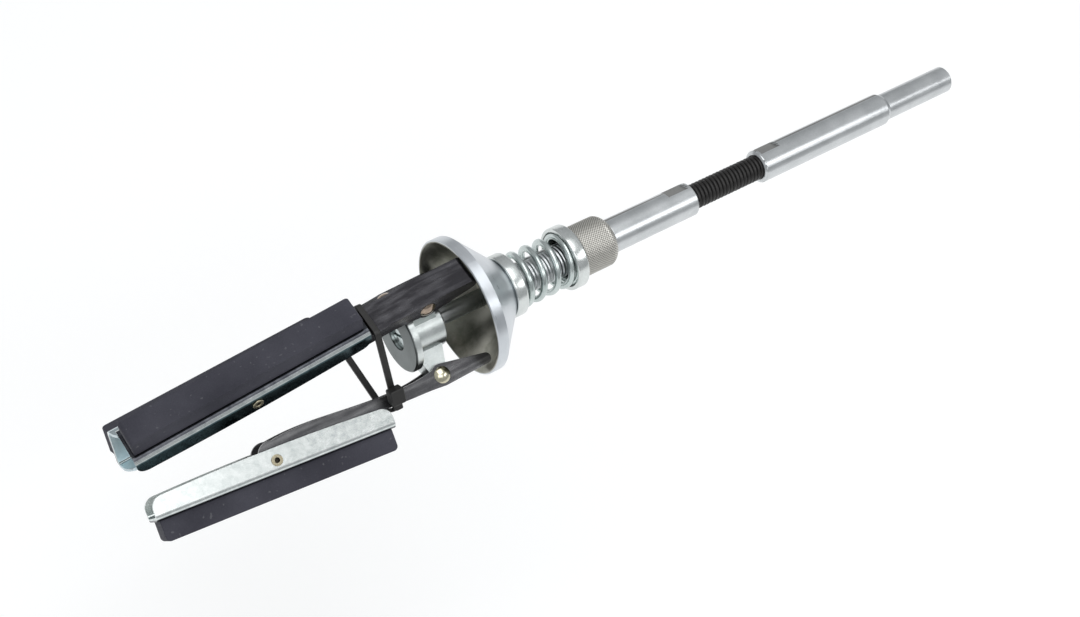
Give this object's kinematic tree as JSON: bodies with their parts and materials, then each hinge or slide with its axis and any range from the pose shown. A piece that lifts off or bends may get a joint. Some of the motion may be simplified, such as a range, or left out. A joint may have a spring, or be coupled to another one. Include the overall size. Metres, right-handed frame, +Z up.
{
  "type": "cylinder hone",
  "caption": "Engine cylinder hone: spring-loaded bell on a spindle spreads hinged legs that carry flat abrasive stones, driven through a flexible shaft with a round drill shank.",
  "frame": {"origin": "on the tool axis where the round shank meets its sleeve, which is the drive_shank mount", "axes": "+X along the tool from the shank towards the stones, +Z up along leg 2, legs 1 and 3 below it on the +Y and -Y sides"},
  "size_m": [0.3387, 0.0557, 0.0517],
  "materials": {
    "sleeve_steel": "turned, zinc plated",
    "black_wire": "black oiled spring wire",
    "core_strand": "plain steel strand",
    "nut_zinc": "knurled, dull zinc plated",
    "seat_steel": "zinc plated",
    "spring_steel": "zinc plated spring wire",
    "bell_zinc": "zinc plated, satin",
    "hub_zinc": "zinc plated",
    "screw_steel": "plain steel",
    "leg_black": "black oxide",
    "pin_brass": "brass plated rivet",
    "holder_zinc": "folded zinc plated sheet",
    "rivet_steel": "tubular rivet",
    "stone_grey": "bonded abrasive, grey",
    "tie_nylon": "black nylon"
  },
  "bodies": {
    "drive": {"drive_shank": "sleeve_steel"},
    "flex": {"flex_coil": "black_wire", "flex_core": "core_strand"},
    "spindle": {"spindle": "sleeve_steel", "hub": "hub_zinc", "hub_screw": "screw_steel", "leg_pin_1": "pin_brass", "leg_pin_2": "pin_brass", "leg_pin_3": "pin_brass", "compression_spring": "spring_steel"},
    "seat": {"spring_seat": "seat_steel"},
    "nut": {"adjusting_nut": "nut_zinc"},
    "bell": {"bell": "bell_zinc", "spring_ring": "seat_steel"},
    "leg_1": {"leg_1": "leg_black", "tie_strap": "tie_nylon", "tie_head": "tie_nylon"},
    "holder_1": {"stone_holder_1": "holder_zinc", "holder_rivet_1": "rivet_steel", "stone_1": "stone_grey"},
    "leg_2": {"leg_2": "leg_black"},
    "holder_2": {"stone_holder_2": "holder_zinc", "holder_rivet_2": "rivet_steel", "stone_2": "stone_grey"},
    "leg_3": {"leg_3": "leg_black"},
    "holder_3": {"stone_holder_3": "holder_zinc", "holder_rivet_3": "rivet_steel", "stone_3": "stone_grey"}
  },
  "joints": [
    {"name": "flex_bend_y", "type": "hinge", "parent": "drive", "child": "flex", "pos_m": [0.07785, 0, 0], "axis": [0, 1, 0], "range_deg": [-20, 20], "stiffness_Nm_per_rad": 30, "deforming": ["flex_coil", "flex_core"]},
    {"name": "flex_bend_z", "type": "hinge", "parent": "flex", "child": "spindle", "pos_m": [0.07785, 0, 0], "axis": [0, 0, 1], "range_deg": [-20, 20], "stiffness_Nm_per_rad": 30, "deforming": ["flex_coil", "flex_core"]},
    {"name": "seat_slide", "type": "slide", "parent": "spindle", "child": "seat", "axis": [1, 0, 0], "range_m": [0, 0.0035], "deforming": ["compression_spring"]},
    {"name": "nut_spin", "type": "hinge", "parent": "seat", "child": "nut", "pos_m": [0.1368, 0, 0], "axis": [1, 0, 0], "range_deg": [0, 1010]},
    {"name": "bell_slide", "type": "slide", "parent": "spindle", "child": "bell", "axis": [1, 0, 0], "range_m": [0, 0.0105], "deforming": ["compression_spring", "tie_strap", "tie_head"]},
    {"name": "leg_1_spread", "type": "hinge", "parent": "spindle", "child": "leg_1", "pos_m": [0.2065, 0.01451, -0.00838], "axis": [0, 0.5, 0.866], "range_deg": [0, 34.1]},
    {"name": "holder_1_swivel", "type": "hinge", "parent": "leg_1", "child": "holder_1", "pos_m": [0.26649, 0.01541, -0.0089], "axis": [0, 0.5, 0.866], "range_deg": [-29.4, 0]},
    {"name": "leg_2_spread", "type": "hinge", "parent": "spindle", "child": "leg_2", "pos_m": [0.2065, 0, 0.01675], "axis": [0, -1, 0], "range_deg": [0, 39.6]},
    {"name": "holder_2_swivel", "type": "hinge", "parent": "leg_2", "child": "holder_2", "pos_m": [0.26632, 0, 0.01204], "axis": [0, -1, 0], "range_deg": [-31.1, 0]},
    {"name": "leg_3_spread", "type": "hinge", "parent": "spindle", "child": "leg_3", "pos_m": [0.2065, -0.01451, -0.00838], "axis": [0, 0.5, -0.866], "range_deg": [0, 39.1]},
    {"name": "holder_3_swivel", "type": "hinge", "parent": "leg_3", "child": "holder_3", "pos_m": [0.26635, -0.01088, -0.00628], "axis": [0, 0.5, -0.866], "range_deg": [-32.1, 0]}
  ],
  "couplings": [
    {"joint": "nut_spin", "follows": "seat_slide", "rad_per_m": 5026.5},
    {"joint": "leg_1_spread", "follows": "bell_slide", "rad_per_m": 56.515},
    {"joint": "holder_1_swivel", "follows": "bell_slide", "rad_per_m": -48.703},
    {"joint": "leg_2_spread", "follows": "bell_slide", "rad_per_m": 65.658},
    {"joint": "holder_2_swivel", "follows": "bell_slide", "rad_per_m": -51.529},
    {"joint": "leg_3_spread", "follows": "bell_slide", "rad_per_m": 64.826},
    {"joint": "holder_3_swivel", "follows": "bell_slide", "rad_per_m": -53.191}
  ]
}
